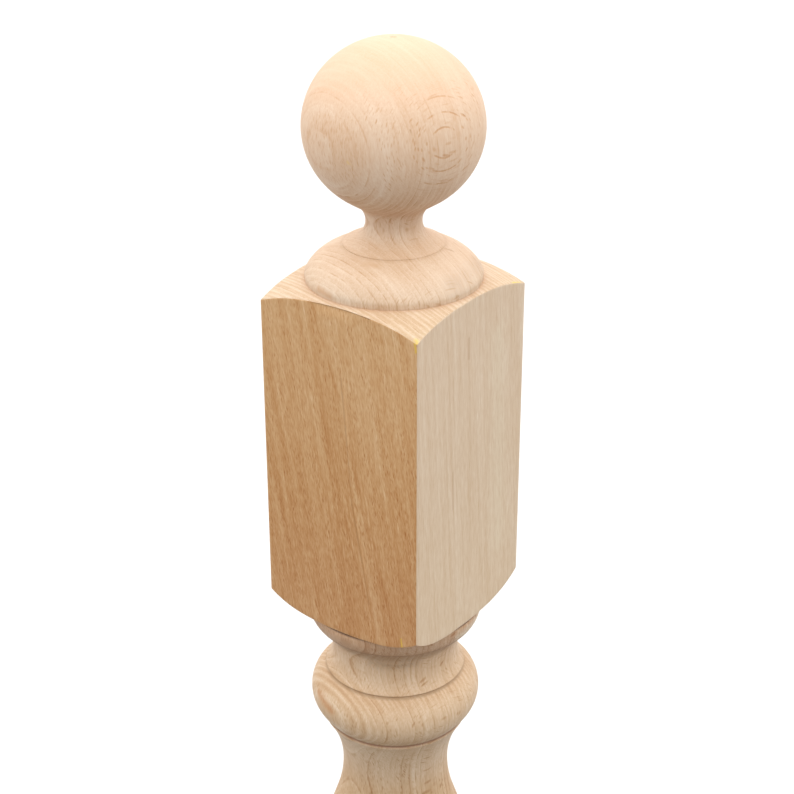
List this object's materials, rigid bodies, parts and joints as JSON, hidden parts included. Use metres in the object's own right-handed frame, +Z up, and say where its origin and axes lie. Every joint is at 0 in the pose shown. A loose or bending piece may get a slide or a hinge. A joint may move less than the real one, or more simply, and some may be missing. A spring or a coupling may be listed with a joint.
{
  "type": "ball-top newel post",
  "caption": "Turned wooden newel post: ball finial over a square rail block, round torus and vase shaft, square base block.",
  "frame": {"origin": "centre of the post's square underside", "axes": "+Z up the post towards the ball, X and Y square to the faces of the blocks"},
  "size_m": [0.09, 0.09, 1.2],
  "materials": {
    "beech": "raw sanded beech, unfinished"
  },
  "bodies": {
    "root": {"newel_post": "beech"}
  },
  "joints": []
}
